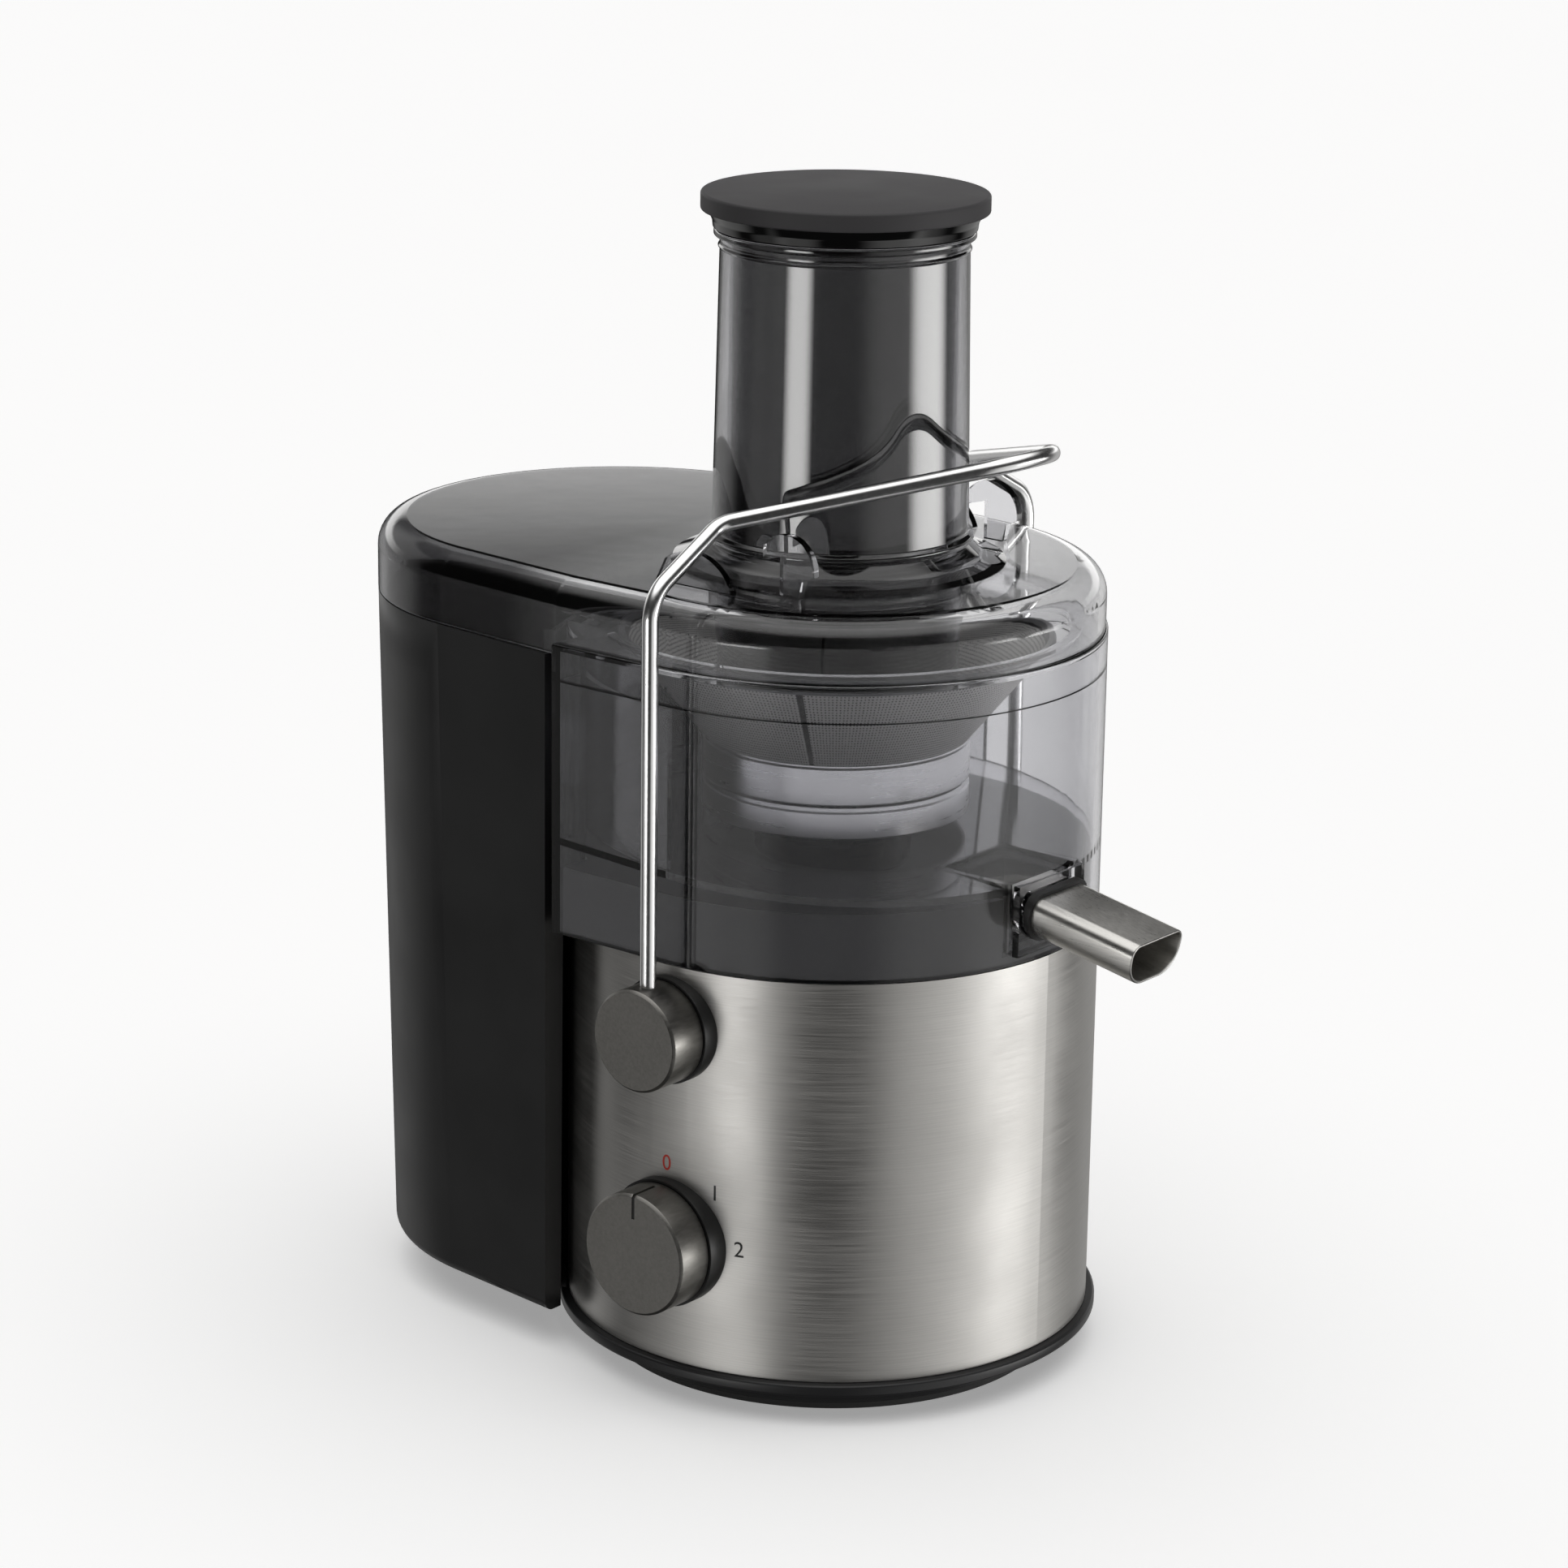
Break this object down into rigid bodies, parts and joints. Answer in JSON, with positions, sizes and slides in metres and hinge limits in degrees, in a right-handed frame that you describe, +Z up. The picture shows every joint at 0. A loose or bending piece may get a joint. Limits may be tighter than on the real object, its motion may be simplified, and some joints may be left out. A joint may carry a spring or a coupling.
{
  "type": "centrifugal juicer",
  "caption": "Upright centrifugal juicer with a round steel body, clear bowl and lid, tall feed chute, side pulp container, wire locking arm and juice spout.",
  "frame": {"origin": "on the motor axis, on the surface that the juicer stands on", "axes": "+Z up; +X along the juice spout; -X to the pulp container; -Y to the side with the speed dial"},
  "size_m": [0.3129, 0.2166, 0.395],
  "materials": {
    "base_black": "fine satin moulding",
    "bearing_steel": "ground",
    "bin_black": "satin black",
    "board_green": "solder mask",
    "body_black": "satin moulding",
    "brass_sheet": "pressed",
    "brushed_steel": "brushed round the body",
    "button_plastic": "moulded",
    "cap_grey": "fine matt texture",
    "carbon": "pressed carbon",
    "cast_aluminium": "as cast",
    "chrome_wire": "bright chrome",
    "clear_plastic": "clear, light smoke tint",
    "copper_bar": "turned bars",
    "copper_wire": "enamelled wire",
    "core_steel": "laminated and varnished",
    "fan_plastic": "glass-filled plastic",
    "foot_rubber": "matt rubber",
    "gunmetal": "satin gunmetal",
    "marker_black": "painted line",
    "mesh_steel": "photo-etched fine holes",
    "nylon": "natural nylon",
    "polished_steel": "polished",
    "rim_plastic": "moulded rim",
    "satin_steel": "satin",
    "screw_steel": "zinc plated",
    "seal_rubber": "smooth rubber",
    "smoke_plastic": "dark smoke tint",
    "switch_plastic": "moulded",
    "trim_black": "satin black"
  },
  "bodies": {
    "root": {"base_plate": "base_black", "foot_ring": "foot_rubber", "base_screws": "screw_steel", "motor_housing": "body_black", "steel_sleeve": "brushed_steel", "pivot_bushings": "nylon", "hub_collars": "trim_black", "dial_bezel": "trim_black", "cord_gland": "trim_black", "upper_bracket": "cast_aluminium", "lower_bracket": "cast_aluminium", "tie_bolts": "screw_steel", "motor_mounts": "foot_rubber", "mount_screws": "screw_steel", "upper_bearing": "bearing_steel", "lower_bearing": "bearing_steel", "stator_core": "core_steel", "field_windings": "copper_wire", "brush_holders": "brass_sheet", "carbon_brushes": "carbon", "shaft_seal": "seal_rubber", "speed_switch": "switch_plastic", "switch_bracket": "screw_steel", "interlock_switch": "switch_plastic", "control_board": "board_green", "board_posts": "body_black", "board_parts": "switch_plastic", "juice_bowl": "clear_plastic", "spout": "satin_steel", "spout_seal": "seal_rubber", "lid_cover": "clear_plastic", "feed_tube": "clear_plastic", "bowl_floor": "clear_plastic", "lid_flange": "clear_plastic", "lid_lugs": "clear_plastic", "tube_flare": "clear_plastic"},
    "arm": {"locking_arm": "chrome_wire", "arm_hub_near": "gunmetal", "arm_hub_far": "gunmetal", "arm_pins": "bearing_steel", "interlock_cam": "nylon"},
    "button": {"interlock_button": "button_plastic"},
    "dial": {"speed_dial": "gunmetal", "dial_marker": "marker_black", "dial_shaft": "switch_plastic"},
    "spinner": {"motor_shaft": "bearing_steel", "rotor_core": "core_steel", "armature_windings": "copper_wire", "commutator": "copper_bar", "cooling_fan": "fan_plastic", "drive_coupling": "fan_plastic", "basket_base": "polished_steel", "basket_drum": "polished_steel", "grater_disc": "polished_steel", "filter_mesh": "mesh_steel", "basket_rim": "rim_plastic"},
    "pusher": {"pusher_cap": "cap_grey", "pusher_body": "smoke_plastic"},
    "bin": {"pulp_container": "bin_black"}
  },
  "joints": [
    {"name": "arm_hinge", "type": "hinge", "parent": "root", "child": "arm", "pos_m": [0.0035, 0, 0.1315], "axis": [0, 1, 0], "range_deg": [0, 90]},
    {"name": "interlock_press", "type": "slide", "parent": "root", "child": "button", "axis": [-1, 0, 0], "range_m": [0, 0.002]},
    {"name": "speed_dial_turn", "type": "hinge", "parent": "root", "child": "dial", "pos_m": [0.0035, -0.1, 0.0575], "axis": [0, 1, 0], "range_deg": [0, 90]},
    {"name": "motor_spin", "type": "hinge", "parent": "root", "child": "spinner", "pos_m": [0, 0, 0.2], "axis": [0, 0, 1], "continuous": true},
    {"name": "pusher_lift", "type": "slide", "parent": "root", "child": "pusher", "axis": [0, 0, 1], "range_m": [0, 0.17]},
    {"name": "bin_pull", "type": "slide", "parent": "root", "child": "bin", "axis": [-1, 0, 0], "range_m": [0, 0.12]}
  ],
  "couplings": [
    {"joint": "interlock_press", "follows": "arm_hinge", "m_per_rad": 0.0012732}
  ]
}
